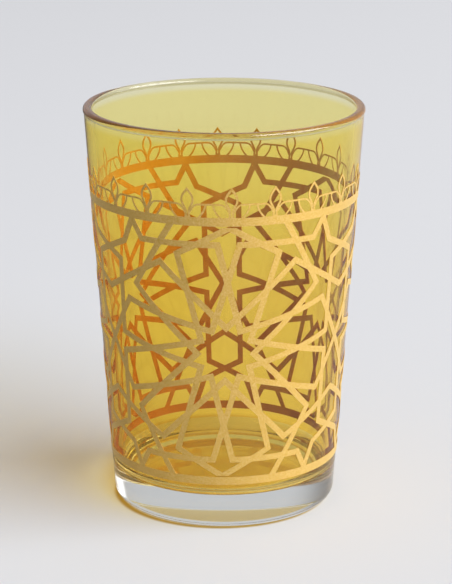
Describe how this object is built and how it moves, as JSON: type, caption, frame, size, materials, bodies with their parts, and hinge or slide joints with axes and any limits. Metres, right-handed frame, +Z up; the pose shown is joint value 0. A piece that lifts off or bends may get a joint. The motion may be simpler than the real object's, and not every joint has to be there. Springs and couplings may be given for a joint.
{
  "type": "tea glass",
  "caption": "Tapered clear tea glass with a thick base, an amber-lacquered wall, and a gold star lattice framed by gold bands under a border of small leaves.",
  "frame": {"origin": "centre of the glass on the table plane, which the bearing ring under the base rests on", "axes": "+Z up along the glass's axis, -Y towards the front rosette, +X to the right of someone who faces that rosette"},
  "size_m": [0.062, 0.062, 0.09],
  "materials": {
    "clear_glass": "clear, polished",
    "amber_lacquer": "see-through amber, glossy",
    "gold_print": "satin gold"
  },
  "bodies": {
    "root": {"glass_body": "clear_glass", "amber_lacquer": "amber_lacquer", "gold_upper_band": "gold_print", "gold_lower_band": "gold_print", "gold_rosette_front": "gold_print", "gold_rosette_right": "gold_print", "gold_rosette_left": "gold_print", "gold_leaf_border": "gold_print"}
  },
  "joints": []
}
